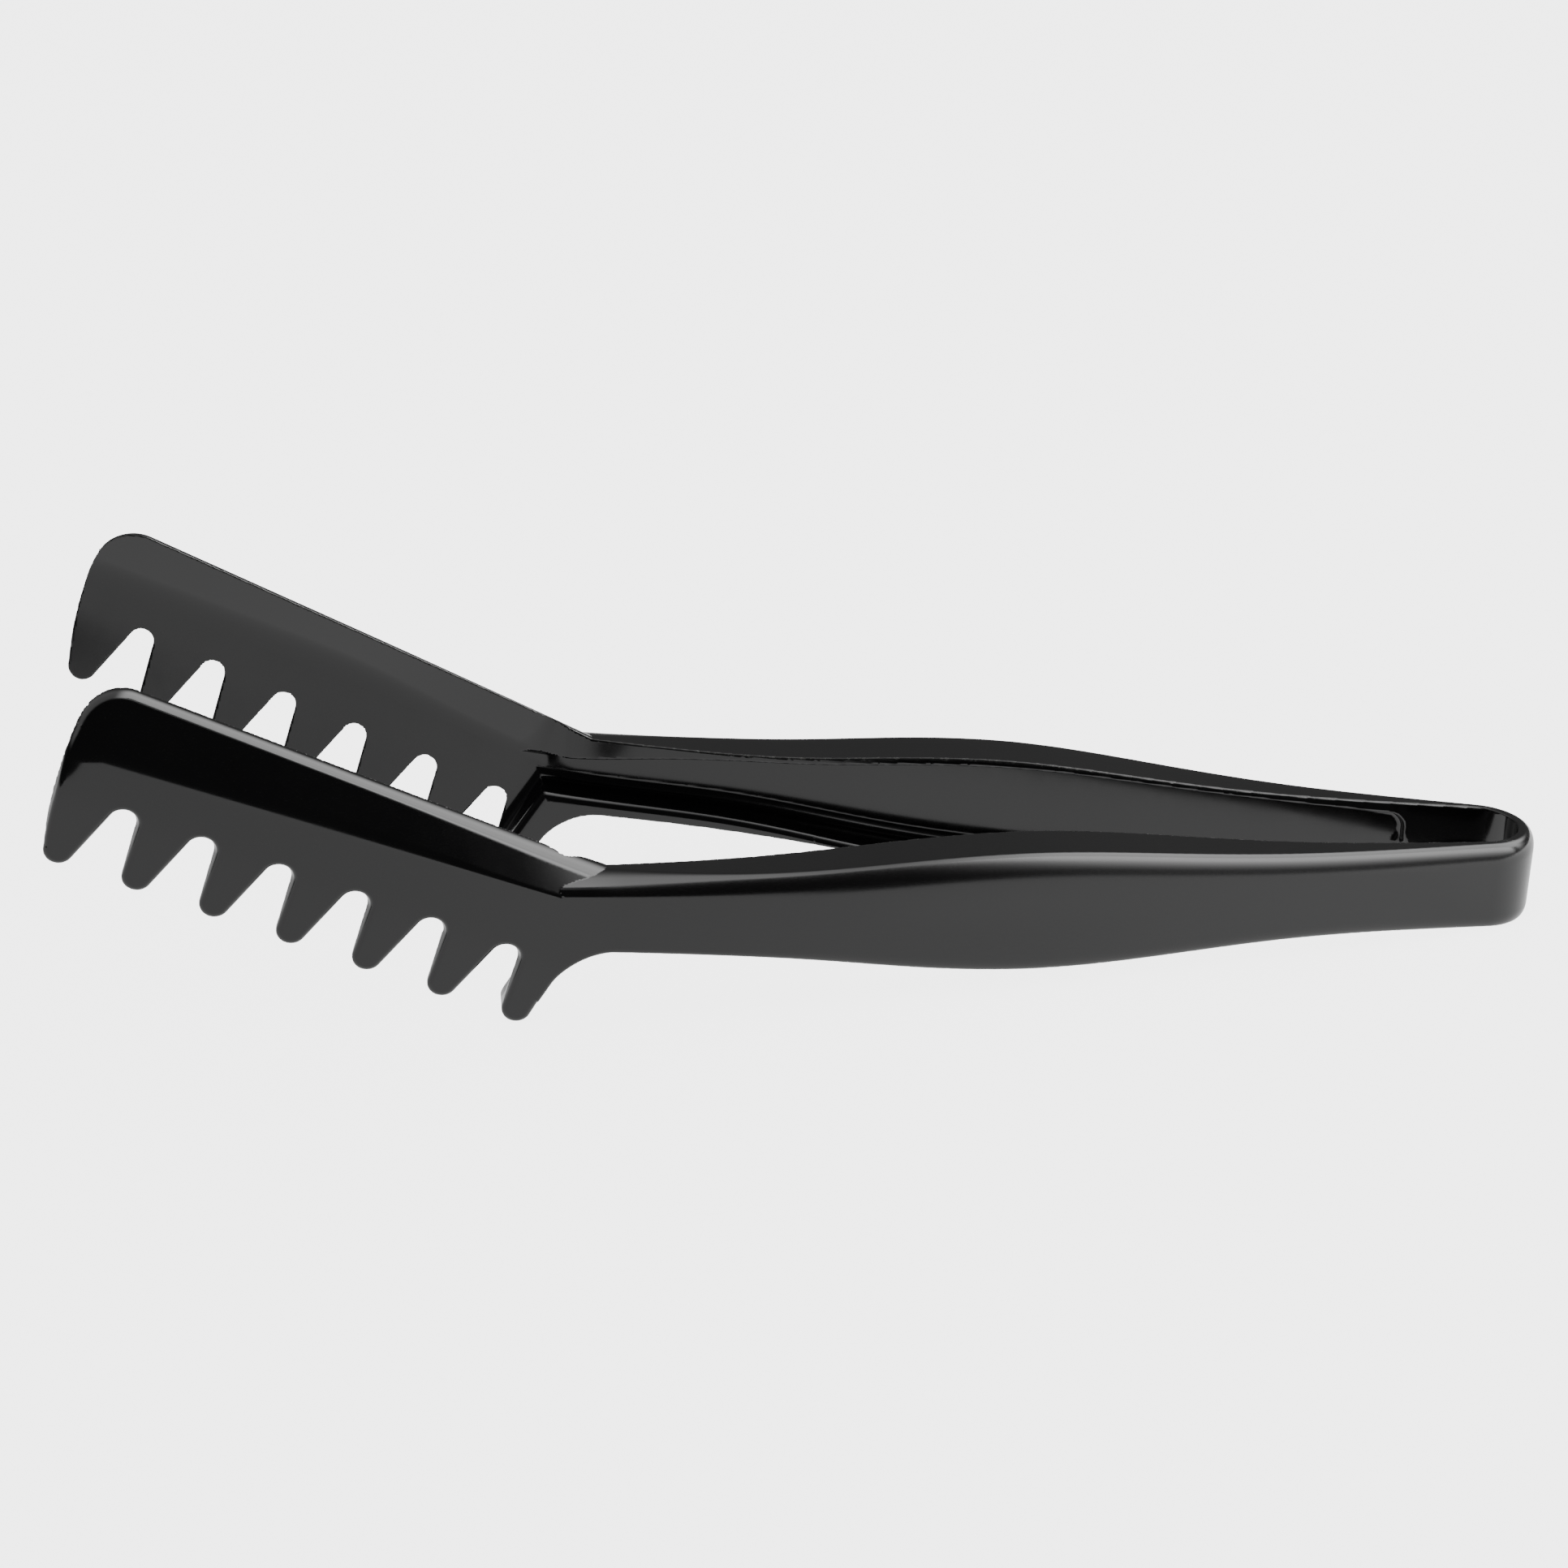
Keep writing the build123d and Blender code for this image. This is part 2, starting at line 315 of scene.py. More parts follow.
def circle_centre(a, b, c):
    """Centre of the circle through three points."""
    (ax, ay), (bx, by), (cx, cy) = a, b, c
    d = 2 * (ax * (by - cy) + bx * (cy - ay) + cx * (ay - by))
    a2, b2, c2 = ax * ax + ay * ay, bx * bx + by * by, cx * cx + cy * cy
    return ((a2 * (by - cy) + b2 * (cy - ay) + c2 * (ay - by)) / d,
            (a2 * (cx - bx) + b2 * (ax - cx) + c2 * (bx - ax)) / d)


def comb_path():
    """The comb's outline as ("line", from, to) and ("arc", centre, radius, from, to, turn)."""
    path = []
    corner = (END_S - CORNER_RADIUS, TOP_AT_END - CORNER_RADIUS)
    path.append(("line", (BACK_S, TOP_AT_HANDLE), (corner[0], TOP_AT_END)))
    path.append(("arc", corner, CORNER_RADIUS, (corner[0], TOP_AT_END), (END_S, corner[1]), -1))
    tip = (TIP_FORWARD + (TEETH - 2) * PITCH, -TIP_DEPTH)
    here = toward(tip, TIP_RADIUS, (tip[0] + END_TIP_SIDE[0], tip[1] + END_TIP_SIDE[1]))
    end_top = (END_S, corner[1])
    centre = circle_centre(end_top, (END_S + END_BULGE[0], END_BULGE[1]), here)
    path.append(("arc", centre, math.dist(centre, end_top), end_top, here, -1))
    for tooth in reversed(range(1, TEETH)):
        gap = ((tooth - 1) * PITCH, -GAP_RADIUS)
        tip = (gap[0] + TIP_FORWARD, -TIP_DEPTH)
        next_tip = (tip[0] - PITCH, tip[1])
        slant = crossing_edge(gap, GAP_RADIUS, tip, TIP_RADIUS, 1)
        steep = crossing_edge(gap, GAP_RADIUS, next_tip, TIP_RADIUS, -1)
        path.append(("arc", tip, TIP_RADIUS, here, slant[1], -1))
        path.append(("line", slant[1], slant[0]))
        path.append(("arc", gap, GAP_RADIUS, slant[0], steep[0], 1))
        path.append(("line", steep[0], steep[1]))
        here = steep[1]
    path.append(("arc", LAST_TIP, TIP_RADIUS, here, LAST_BACK, -1))
    path.append(("line", LAST_BACK, LAST_TOOTH_TOP))
    path.append(("line", LAST_TOOTH_TOP, (BACK_S, BACK_T)))
    path.append(("line", (BACK_S, BACK_T), (BACK_S, TOP_AT_HANDLE)))
    return path


COMB_PATH = comb_path()


def arc_angles(centre, start, end, turn):
    """Angle at which an arc starts, and how far it turns."""
    first = math.atan2(start[1] - centre[1], start[0] - centre[0])
    last = math.atan2(end[1] - centre[1], end[0] - centre[0])
    return first, (last - first) * turn % (2 * math.pi)


def comb_corners():
    """The comb's outline as a polygon, for telling its inside from its outside."""
    points = []
    for kind, *rest in COMB_PATH:
        if kind == "line":
            points.append(rest[0])
            continue
        centre, radius, start, end, turn = rest
        first, sweep = arc_angles(centre, start, end, turn)
        steps = max(4, int(sweep / math.radians(4)))
        points += [(centre[0] + radius * math.cos(first + turn * sweep * i / steps),
                    centre[1] + radius * math.sin(first + turn * sweep * i / steps)) for i in range(steps)]
    return np.array(points)


COMB_CORNERS = comb_corners()


def comb_outline(s, t):
    """Signed distance to the comb's outline, negative inside."""
    near = np.full(s.shape, 1e3)
    for kind, *rest in COMB_PATH:
        if kind == "line":
            (ax, ay), (bx, by) = rest
            dx, dy = bx - ax, by - ay
            k = np.clip(((s - ax) * dx + (t - ay) * dy) / (dx * dx + dy * dy), 0, 1)
            near = np.minimum(near, np.hypot(s - ax - k * dx, t - ay - k * dy))
        else:
            centre, radius, start, end, turn = rest
            first, sweep = arc_angles(centre, start, end, turn)
            angle = ((np.arctan2(t - centre[1], s - centre[0]) - first) * turn) % (2 * math.pi)
            ring = np.abs(np.hypot(s - centre[0], t - centre[1]) - radius)
            near = np.where(angle <= sweep, np.minimum(near, ring), near)
    inside = np.zeros(s.shape, bool)
    for (ax, ay), (bx, by) in zip(COMB_CORNERS, np.roll(COMB_CORNERS, -1, axis=0)):
        if ay != by:
            inside ^= ((ay > t) != (by > t)) & (s < (bx - ax) * (t - ay) / (by - ay) + ax)
    return np.where(inside, -near, near)


TABLE_STEP = 0.1
TABLE_LOW, TABLE_HIGH = (-31.0, -16.0), (92.0, 23.0)     # s and t


def outline_table():
    """Signed distances to the comb's outline on a fine grid of s and t."""
    axes = [np.arange(low, high + TABLE_STEP, TABLE_STEP) for low, high in zip(TABLE_LOW, TABLE_HIGH)]
    return comb_outline(*np.meshgrid(*axes, indexing="ij"))


OUTLINE_TABLE = outline_table()


def outline_at(s, t):
    """Signed distance to the comb's outline, read between the points of the table."""
    near_s = np.clip(s, TABLE_LOW[0], TABLE_HIGH[0])
    near_t = np.clip(t, TABLE_LOW[1], TABLE_HIGH[1])
    u, v = (near_s - TABLE_LOW[0]) / TABLE_STEP, (near_t - TABLE_LOW[1]) / TABLE_STEP
    i = np.minimum(u.astype(int), OUTLINE_TABLE.shape[0] - 2)
    j = np.minimum(v.astype(int), OUTLINE_TABLE.shape[1] - 2)
    a, b = u - i, v - j
    low = mix(OUTLINE_TABLE[i, j], OUTLINE_TABLE[i + 1, j], a)
    high = mix(OUTLINE_TABLE[i, j + 1], OUTLINE_TABLE[i + 1, j + 1], a)
    return mix(low, high, b) + np.hypot(s - near_s, t - near_t)


def ring_of(line, reach):
    """Centre and radius of the bow circle that ends at reach and is tangent to a handle line at x = 0."""
    y, slope = float(line(np.array(0.0))), float(line(np.array(1.0)) - line(np.array(0.0)))
    lean = math.hypot(1, slope)
    centre = (reach * lean - y) / (lean + slope)
    return centre, reach - centre, math.atan(-slope)


OUTER_RING = ring_of(outer_line, BOW_OUTER)
INNER_RING = ring_of(upper_rim, BOW_INNER)


def plan_distance(x, y, line, ring):
    """Distance outside a plan view line that goes on into the bow."""
    centre, radius, angle = ring
    slope = line(x + 0.01) - line(x)
    straight = (y - line(x)) / np.hypot(1, slope / 0.01)
    round_part = np.hypot(x - centre, y) - radius
    beyond = (x - centre) * math.cos(angle) - y * math.sin(angle) > 0
    return np.where(beyond, round_part, straight)


def comb_place(x, z):
    """s and t of a point of the side view."""
    dx, dz = x - ROW_X, z - ROW_Z
    return (-dx * math.cos(COMB_RISE) + dz * math.sin(COMB_RISE),
            dx * math.sin(COMB_RISE) + dz * math.cos(COMB_RISE))


def side_view(x, z):
    """Side view distances: the comb, the handle, and the fillet where the handle meets the last tooth."""
    s, t = comb_place(x, z)
    d_comb = outline_at(s, t)
    d_handle = np.maximum(np.maximum(z - top_line(x), bottom_line(x) - z), HANDLE_END - x)
    d_back = -((s - LAST_BACK[0]) * (LAST_TOOTH_TOP[1] - LAST_BACK[1])
               - (t - LAST_BACK[1]) * (LAST_TOOTH_TOP[0] - LAST_BACK[0])) / BACK_LENGTH
    d_fillet = np.maximum(np.maximum(join(d_handle, d_back, JUNCTION_RADIUS), z - FILLET_TOP),
                          np.maximum(s - FILLET_S, FILLET_T - t))
    return s, t, d_comb, d_handle, np.maximum(d_fillet, x - FILLET_X)


def bent(t, start, end, reach, radius):
    """How far a section that bends from start, and is straight after, has moved at t, and its cosine."""
    rise = end - start
    angle = 2 * np.arctan(reach / (rise + np.sqrt(rise ** 2 + reach ** 2 - 2 * radius * reach)))
    up = np.clip(t - start, 0, None)
    on_arc = np.minimum(up, radius * np.sin(angle))
    cosine = np.sqrt(1 - (on_arc / radius) ** 2)
    return radius * (1 - cosine) + (up - on_arc) * np.tan(angle), cosine


def comb_curl(s, t):
    """How far the outer and the inner face of the comb are bent inwards, each with its cosine."""
    along = np.clip(s, CURL_CONSTANT_BEFORE, None)
    comb_top = mix(TOP_AT_HANDLE, TOP_AT_END, (along - TOP_S[0]) / (TOP_S[1] - TOP_S[0]))
    reach = mix(*CURL, np.clip((along - CURL_S[0]) / (CURL_S[1] - CURL_S[0]), 0, 1))
    radius = mix(*BEND_RADIUS, ramp(along, *BEND_WIDENS_S))
    bend_from = BEND_T - BEND_FALL * along - BEND_LEAD * radius
    inner_from = bend_from - mix(*INNER_BEND_LEAD, ramp(along, *INNER_BEND_S))
    return (*bent(t, bend_from, comb_top, reach, radius),
            *bent(t, inner_from, comb_top, reach, radius + INNER_BEND_WIDER))


def lean(t, amount, softness):
    """How far a tooth's face has moved inwards at t."""
    return amount * np.logaddexp(0, -t / softness) * softness


def outer_side(x, y, z, s, t, outlines, curl):
    """Everything inside the outer faces, with their rounded edges, and the plan distance of the flat face."""
    d_comb, d_handle, d_fillet = outlines
    curl_out, cos_out = curl
    straight = plan_distance(x, y, outer_line, OUTER_RING)
    comb_flat = (y - (ROW_HALF_GAP + COMB_SPLAY * s + PLATE)) / SPLAY_SCALE
    straight = np.where(x < COMB_FROM_X, mix(straight, comb_flat, ramp(-x, *COMB_SIDE_X)), straight)
    end_turn = END_TURN * end_bend(s, t)
    outer = straight + np.where(x < COMB_FROM_X, lean(t, TOOTH_LEAN, LEAN_SOFT) + end_turn, 0.0)
    dish = 1 - ((x - DISH_AT[0]) / DISH_RADII[0]) ** 2 - ((z - DISH_AT[1]) / DISH_RADII[1]) ** 2
    outer_handle = outer + DISH_DEPTH * np.clip(dish, 0, 1) ** 2

    narrow, on_comb = ramp(-x, *EDGE_NARROWS), ramp(-x, *EDGE_TO_COMB)
    low_in = mix(mix(EDGE_IN[0], EDGE_IN[1], narrow), EDGE_IN[2], on_comb)
    low_down = mix(mix(EDGE_DOWN[0], EDGE_DOWN[1], narrow), EDGE_DOWN[2], on_comb)
    high, nose = ramp(t, *COMB_TOP_EDGE_T), ramp(s, *COMB_TOP_EDGE_S)
    drafted = d_comb + TOOTH_DRAFT * np.clip(straight + PLATE, 0, PLATE) * (1 - high)
    e_comb = shoulder((outer + curl_out) * cos_out, drafted,
                      mix(low_in, mix(*COMB_TOP_EDGE_IN, nose), high),
                      mix(low_down, mix(*COMB_TOP_EDGE_DOWN, nose), high))
    upper = ramp(z, *SHOULDER_Z)
    e_handle = shoulder(outer_handle, d_handle, mix(low_in, shoulder_in(x), upper),
                        mix(low_down, shoulder_down(x), upper))
    e_fillet = shoulder(outer_handle, d_fillet, low_in, low_down)
    return np.minimum(np.minimum(e_comb, e_handle), e_fillet), straight


def end_bend(s, t):
    """How the free end turns inwards, before it is multiplied by its amount."""
    return np.clip(s - END_TURN_S, 0, None) ** 2 * ramp(t, *END_TURN_T)


def inner_side(x, y, z, s, t, straight, curl):
    """The web, and the rims round the hollow back."""
    curl_in, cos_in = curl
    inside = lean(t, TOOTH_LEAN_INSIDE, LEAN_SOFT_INSIDE) + END_TURN_INSIDE * end_bend(s, t)
    inner = straight + WEB + np.where(x < COMB_FROM_X, inside, 0.0)
    curled = ramp(-x, *INNER_CURL_X)
    web = -(inner + curl_in * curled) * mix(1, cos_in, curled)

    rim_upper = plan_distance(x, y, upper_rim, INNER_RING)
    rim_lower = y - lower_rim(x)
    rim = -np.where(x < RIMS_PART_X, mix(rim_lower, rim_upper, ramp(z, *RIMS_PART_Z)), rim_upper)
    above, below = z - top_line(x) + upper_flange(x), bottom_line(x) + lower_flange(x) - z
    slot = cut(np.maximum(below, above), x - LEG_END, SLOT_CORNER)
    (x1, z1), (x2, z2) = LOWER_FLANGE_START
    before = ((x - x1) * (z1 - z2) - (z - z1) * (x1 - x2)) / math.dist((x1, z1), (x2, z2))
    slanted = (x - UPPER_FLANGE_START + UPPER_START_SLOPE * rim_upper) / math.hypot(1, UPPER_START_SLOPE)
    hollow = np.minimum(slot, np.where(z > START_SPLIT_Z, slanted, before))
    lower = 1 - ramp(z, *LOWER_Z)
    return join(web, cut(rim, -hollow, mix(*RIM_EDGE, lower)), mix(*WEB_FILLET, lower))


def solid(x, y, z):
    """Negative inside the tongs, and close to the distance near their surface."""
    y = np.abs(y)
    s, t, *outlines = side_view(x, z)
    curls = comb_curl(s, t)
    outside, straight = outer_side(x, y, z, s, t, outlines, curls[:2])
    return cut(outside, inner_side(x, y, z, s, t, straight, curls[2:]), CREASE)


def surface_net(values):
    """Vertices, in grid steps, and quads of the zero surface of a grid."""
    inside = values < 0
    corners = [(i, j, k) for i in (0, 1) for j in (0, 1) for k in (0, 1)]
    nx, ny, nz = (n - 1 for n in values.shape)
    count = np.zeros((nx, ny, nz), np.int8)
    for i, j, k in corners:
        count += inside[i:i + nx, j:j + ny, k:k + nz]
    mixed = (count > 0) & (count < 8)
    cells = np.argwhere(mixed)
    number = np.full(mixed.shape, -1, np.int64)
    number[mixed] = np.arange(len(cells))
    at = {(i, j, k): values[cells[:, 0] + i, cells[:, 1] + j, cells[:, 2] + k].astype(float)
          for i, j, k in corners}
    total, hits = np.zeros((len(cells), 3)), np.zeros(len(cells))
    quads = []
    for axis in range(3):
        step = np.eye(3, dtype=int)[axis]
        for c in corners:
            if c[axis]:
                continue
            a, b = at[c], at[tuple(np.array(c) + step)]
            crossing = (a < 0) != (b < 0)
            share = np.where(crossing, a / np.where(crossing, a - b, 1), 0)
            total += crossing[:, None] * (np.array(c) + share[:, None] * step)
            hits += crossing
        one, two = np.eye(3, dtype=int)[(axis + 1) % 3], np.eye(3, dtype=int)[(axis + 2) % 3]
        low = [slice(1, n - 1) for n in values.shape]
        low[axis] = slice(0, values.shape[axis] - 1)
        high = list(low)
        high[axis] = slice(1, values.shape[axis])
        first, last = inside[tuple(low)], inside[tuple(high)]
        offset = np.array([1, 1, 1]) - step
        for way, where in ((1, first & ~last), (-1, last & ~first)):
            node = np.argwhere(where) + offset
            ring = [node - one - two, node - two, node, node - one][::way]
            quads.append(np.stack([number[r[:, 0], r[:, 1], r[:, 2]] for r in ring], axis=1))
    return cells + total / hits[:, None], np.concatenate(quads)


def slope_at(points):
    """Gradient of the surface function."""
    x, y, z = points.T
    return np.stack([solid(x + SMALL, y, z) - solid(x - SMALL, y, z),
                     solid(x, y + SMALL, z) - solid(x, y - SMALL, z),
                     solid(x, y, z + SMALL) - solid(x, y, z - SMALL)], axis=1) / (2 * SMALL)


def settle(points, steps):
    """Moves points onto the surface."""
    slope = slope_at(points)
    slope /= np.maximum((slope ** 2).sum(1), FLATTEST)[:, None]
    for _ in range(steps):
        move = -solid(*points.T)[:, None] * slope
        size = np.linalg.norm(move, axis=1, keepdims=True)
        points = points + move * np.minimum(1, 0.5 * CELL / np.maximum(size, 1e-9))
    return points


def grid_values(axes):
    """The surface function on a grid, worked out only near the strip that can hold the tongs."""
    values = np.ones([len(a) for a in axes], np.float32)
    for i in range(0, len(axes[0]), SLAB):
        part = axes[0][i:i + SLAB]
        low = min(np.min(upper_rim(part)), np.min(lower_rim(part))) - BELOW_RIM
        if part[0] < COMB_NEAR_X:
            low = min(low, COMB_NEAR_Y)
        if part[-1] > BOW_NEAR_X:
            low = -1.0
        y_from = np.searchsorted(axes[1], low)
        x, z = np.meshgrid(part, axes[2], indexing="ij")
        _, _, d_comb, d_handle, d_fillet = side_view(x, z)
        columns = np.minimum(np.minimum(d_comb, d_handle), d_fillet) < MESH_MARGIN
        y = axes[1][None, y_from:]
        found = solid(x[columns][:, None], y, z[columns][:, None])
        block = np.ones((len(part), len(axes[2]), len(axes[1])), np.float32)
        where = np.argwhere(columns)
        block[where[:, 0], where[:, 1], y_from:] = found
        values[i:i + SLAB] = block.transpose(0, 2, 1)
    return values


def half_mesh():
    """The rear half: points and quads, open where it meets the front half at y = 0."""
    low, high = np.array(MESH_LOW), np.array(MESH_HIGH)
    count = np.ceil((high - low) / CELL).astype(int) + 1
    cells, quads = surface_net(grid_values([low[i] + CELL * np.arange(count[i]) for i in range(3)]))
    points = low + CELL * cells
    seam = np.abs(points[:, 1]) < 0.3 * CELL
    points[seam, 1] = 0
    points = settle(points, 3)
    for _ in range(RELAX_ROUNDS):
        total, hits = np.zeros_like(points), np.zeros(len(points))
        for a, b in ((0, 1), (1, 2), (2, 3), (3, 0)):
            for one, two in ((a, b), (b, a)):
                for c in range(3):
                    total[:, c] += np.bincount(quads[:, one], points[quads[:, two], c], len(points))
                hits += np.bincount(quads[:, one], minlength=len(points))
        points = mix(points, total / hits[:, None], 0.5)
        points[seam, 1] = 0
        points = settle(points, 2)
        points[seam, 1] = 0
    return points, quads


def placed(points, side):
    """Handle frame millimetres to row frame metres."""
    x, y, z = points.T
    return np.stack([BOW_X + x * math.cos(STANCE_TILT) + z * math.sin(STANCE_TILT), side * y,
                     BOW_Z - x * math.sin(STANCE_TILT) + z * math.cos(STANCE_TILT)], axis=1) / 1000


def piece_mesh(half, low, high):
    """Copy of the half between two planes across x, closed where it is cut. Points, faces and cap flags."""
    bm = half.copy()
    caps = []
    for at, keep_above in ((low, True), (high, False)):
        if at is None:
            continue
        normal = (1, 0, 0) if keep_above else (-1, 0, 0)
        done = bmesh.ops.bisect_plane(bm, geom=bm.verts[:] + bm.edges[:] + bm.faces[:], dist=1e-5,
                                      plane_co=(at, 0, 0), plane_no=normal, clear_inner=True)
        edges = [e for e in done["geom_cut"] if isinstance(e, bmesh.types.BMEdge)]
        filled = bmesh.ops.triangle_fill(bm, use_beauty=True, use_dissolve=False, edges=edges,
                                         normal=tuple(-c for c in normal))
        caps += [f for f in filled["geom"] if isinstance(f, bmesh.types.BMFace)]
    for f in bm.faces:
        f.tag = False
    for f in caps:
        f.tag = True
    bm.verts.index_update()
    points = np.array([v.co[:] for v in bm.verts])
    faces = [[v.index for v in f.verts] for f in bm.faces]
    flags = [f.tag for f in bm.faces]
    bm.free()
    return points, faces, flags


def finish_and_highlight_marks(points, normals):
    """Where the moulding has grain, and where its parting line left flash, lightened as a painted highlight
    of the upper rim edge.
    """
    x, y, z = points.T
    outward = normals[:, 1] / np.linalg.norm(normals, axis=1)
    up = normals[:, 2] / np.linalg.norm(normals, axis=1)
    grain = ramp(x, *GRAIN_FROM_X) * np.maximum(ramp(outward, -0.2, 0.3), ramp(up, 0.6, 0.9) * GRAIN_ON_TOP)
    # flash along the upper rim edge, partly real specks and partly a painted highlight
    near = np.hypot(y - upper_rim(x), z - top_line(x))
    flash_and_highlight = (1 - ramp(near, *FLASH_HIGHLIGHT_WIDTH)) * ramp(x, *FLASH_HIGHLIGHT_FROM_X)
    return grain, flash_and_highlight


def make_piece(name, points, faces, flags, normals, side, material):
    """One object, with the surface function's own normals except on its cut faces."""
    if side < 0:
        faces = [f[::-1] for f in faces]
    mesh = bpy.data.meshes.new(name)
    mesh.from_pydata(placed(points, side).tolist(), [], faces)
    turned = placed(normals, side) - placed(np.zeros((1, 3)), side)
    turned /= np.linalg.norm(turned, axis=1, keepdims=True)
    mesh.shade_smooth()
    loops = np.empty(len(mesh.loops), np.int64)
    mesh.loops.foreach_get("vertex_index", loops)
    loop_normals = turned[loops]
    for polygon, flag in zip(mesh.polygons, flags):
        if flag:
            loop_normals[polygon.loop_start:polygon.loop_start + polygon.loop_total] = polygon.normal
    mesh.normals_split_custom_set(loop_normals.tolist())
    for label, marks in zip(("grain", "flash_and_highlight"), finish_and_highlight_marks(points, normals)):
        mesh.attributes.new(label, "FLOAT", "POINT").data.foreach_set("value", marks.astype(np.float32))
    mesh.materials.append(material)
    obj = bpy.data.objects.new(name, mesh)
    bpy.context.scene.collection.objects.link(obj)
    return obj


class Nodes:
    """Short way to write a node tree."""

    def __init__(self, tree):
        self.tree = tree

    def add(self, kind, inputs=(), **settings):
        node = self.tree.nodes.new(kind)
        for name, value in settings.items():
            setattr(node, name, value)
        for name, value in dict(inputs).items():
            if isinstance(value, bpy.types.NodeSocket):
                self.tree.links.new(value, node.inputs[name])
            else:
                node.inputs[name].default_value = value
        return node

    def math(self, operation, a, b=0.0):
        return self.add("ShaderNodeMath", {0: a, 1: b}, operation=operation).outputs[0]

    def range(self, value, low, high, to_low, to_high):
        return self.add("ShaderNodeMapRange", {"Value": value, "From Min": low, "From Max": high,
                                               "To Min": to_low, "To Max": to_high}).outputs[0]

    def soft_range(self, value, low, high, to_low, to_high):
        return self.add("ShaderNodeMapRange", {"Value": value, "From Min": low, "From Max": high,
                                               "To Min": to_low, "To Max": to_high},
                        interpolation_type="SMOOTHSTEP").outputs[0]

    def noise(self, where, scale, detail=2.0):
        inputs = {"Vector": where, "Scale": scale, "Detail": detail}
        return self.add("ShaderNodeTexNoise", inputs).outputs["Fac"]

    def mix(self, share, a, b):
        return self.math("ADD", a, self.math("MULTIPLY", share, self.math("SUBTRACT", b, a)))


def black_plastic():
    """Moulded black plastic: polished blades and inner faces, fine grain on the handles' outside, and a light
    grey line on the upper rims that is partly flash and partly a painted highlight.
    """
    material = bpy.data.materials.new("black_plastic")
    material.use_nodes = True
    n = Nodes(material.node_tree)
    shader = material.node_tree.nodes["Principled BSDF"]
    where = n.add("ShaderNodeTexCoord").outputs["Object"]
    grain = n.add("ShaderNodeAttribute", attribute_name="grain").outputs["Fac"]
    flash_and_highlight = n.add("ShaderNodeAttribute", attribute_name="flash_and_highlight").outputs["Fac"]

    fine = n.noise(where, 2600.0, 3.0)
    flow = n.noise(where, 70.0, 3.0)
    haze = n.noise(where, 420.0, 4.0)
    specks = n.range(n.noise(where, 900.0, 2.0), 0.56, 0.68, 0.4, 1.0)
    flash_highlight_mark = n.math("MULTIPLY", flash_and_highlight, specks)

    polished = n.range(n.math("ADD", flow, n.math("MULTIPLY", haze, 0.5)), 0.5, 1.0, *POLISHED)
    satin = n.range(fine, 0.3, 0.7, *SATIN)
    rough = n.mix(grain, polished, satin)
    rough = n.mix(flash_highlight_mark, rough, FLASH_HIGHLIGHT_ROUGH)
    material.node_tree.links.new(rough, shader.inputs["Roughness"])

    # painted highlight: light grey base colour along the upper rim edge, mixed with flash specks
    tone = n.add("ShaderNodeMix", {"Factor": n.math("MULTIPLY", flash_highlight_mark, 0.5)}, data_type="RGBA")
    tone.inputs[6].default_value = BLACK
    tone.inputs[7].default_value = FLASH_AND_HIGHLIGHT_GREY
    material.node_tree.links.new(tone.outputs[2], shader.inputs["Base Color"])

    height = n.math("ADD", n.math("MULTIPLY", n.math("MULTIPLY", fine, grain), GRAIN_HEIGHT),
                    n.math("MULTIPLY", flow, FLOW_HEIGHT))
    bump = n.add("ShaderNodeBump", {"Height": height, "Strength": 0.6, "Distance": 1.0})
    material.node_tree.links.new(bump.outputs["Normal"], shader.inputs["Normal"])
    shader.inputs["IOR"].default_value = 1.5
    return material


def place(name, data, at, aim):
    """Adds an object that looks from one point at another."""
    thing = bpy.data.objects.new(name, data)
    thing.location = at
    thing.rotation_mode = "QUATERNION"
    thing.rotation_quaternion = (Vector(aim) - Vector(at)).to_track_quat("-Z", "Y")
    bpy.context.scene.collection.objects.link(thing)
    return thing


def make_sheet(name, corners):
    """A flat object of one face, with the nodes and the shader of its new material."""
    mesh = bpy.data.meshes.new(name)
    mesh.from_pydata(corners, [], [(0, 1, 2, 3)])
    sheet = bpy.data.objects.new(name, mesh)
    bpy.context.scene.collection.objects.link(sheet)
    material = bpy.data.materials.new(name)
    material.use_nodes = True
    mesh.materials.append(material)
    return sheet, Nodes(material.node_tree), material.node_tree.nodes["Principled BSDF"]


def make_camera():
    data = bpy.data.cameras.new("camera")
    data.lens = LENS
    data.sensor_width = SENSOR
    data.clip_start, data.clip_end = 0.05, 20.0
    bpy.context.scene.camera = place("camera", data, CAMERA_AT, LOOK_AT)


